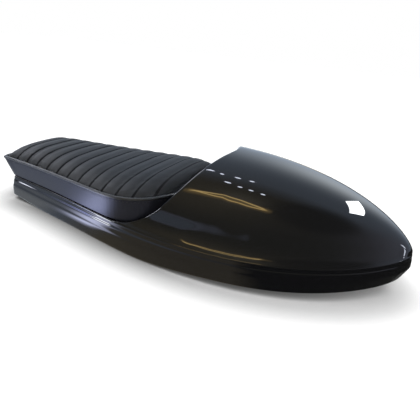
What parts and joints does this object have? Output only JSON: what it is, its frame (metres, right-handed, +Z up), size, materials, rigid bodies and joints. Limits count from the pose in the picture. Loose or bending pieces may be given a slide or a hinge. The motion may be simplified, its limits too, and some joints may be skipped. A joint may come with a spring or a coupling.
{
  "type": "cafe racer seat",
  "caption": "Motorcycle solo seat: a one-piece gloss moulding with a smooth tail hump and a ribbed, piped pad that lies on its deck, with studs below for the frame.",
  "frame": {"origin": "bottom centre of the box around the seat, on the plane of the lower rim", "axes": "+X towards the handlebars, +Y to the rider's left, +Z up"},
  "size_m": [0.6994, 0.269, 0.159],
  "materials": {
    "gloss_moulding": "mirror gloss black",
    "ribbed_vinyl": "matte charcoal vinyl with fine grain",
    "band_vinyl": "smooth satin vinyl",
    "piping_vinyl": "satin vinyl over cord",
    "foam": "open-cell foam",
    "board": "plywood",
    "plate_steel": "zinc plated",
    "fastener_steel": "zinc plated",
    "buffer_rubber": "matte"
  },
  "bodies": {
    "root": {"tail_shell": "gloss_moulding", "pad_board": "board", "pad_foam": "foam", "ribbed_cover": "ribbed_vinyl", "side_band": "band_vinyl", "piping": "piping_vinyl", "cover_staples": "fastener_steel", "tee_nuts": "fastener_steel", "pad_screws": "fastener_steel", "pad_washers": "fastener_steel", "front_plate": "plate_steel", "back_plate": "plate_steel", "front_studs": "fastener_steel", "back_studs": "fastener_steel", "rubber_buffers": "buffer_rubber"}
  },
  "joints": []
}
